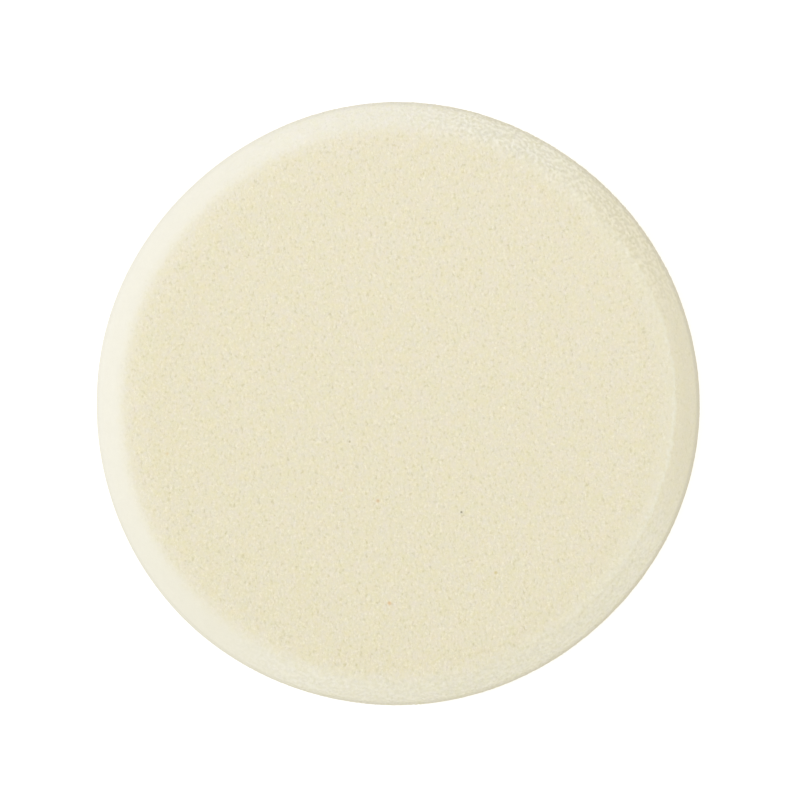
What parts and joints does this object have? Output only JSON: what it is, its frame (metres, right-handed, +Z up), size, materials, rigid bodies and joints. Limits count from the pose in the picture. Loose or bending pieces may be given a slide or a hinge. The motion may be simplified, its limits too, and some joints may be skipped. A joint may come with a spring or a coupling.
{
  "type": "makeup sponge",
  "caption": "Round flat disc of fine-celled cream foam with a rounded, buffed edge on both faces, for dabbing and smoothing powder or foundation on the skin.",
  "frame": {"origin": "middle of the flat face that the sponge lies on", "axes": "+Z up through the thickness, square to both flat faces; +X to the right and +Y to the top of the picture, which looks straight down on the upper face"},
  "size_m": [0.06, 0.06, 0.008],
  "materials": {
    "foam": "matte"
  },
  "bodies": {
    "root": {"foam_disc": "foam"}
  },
  "joints": []
}
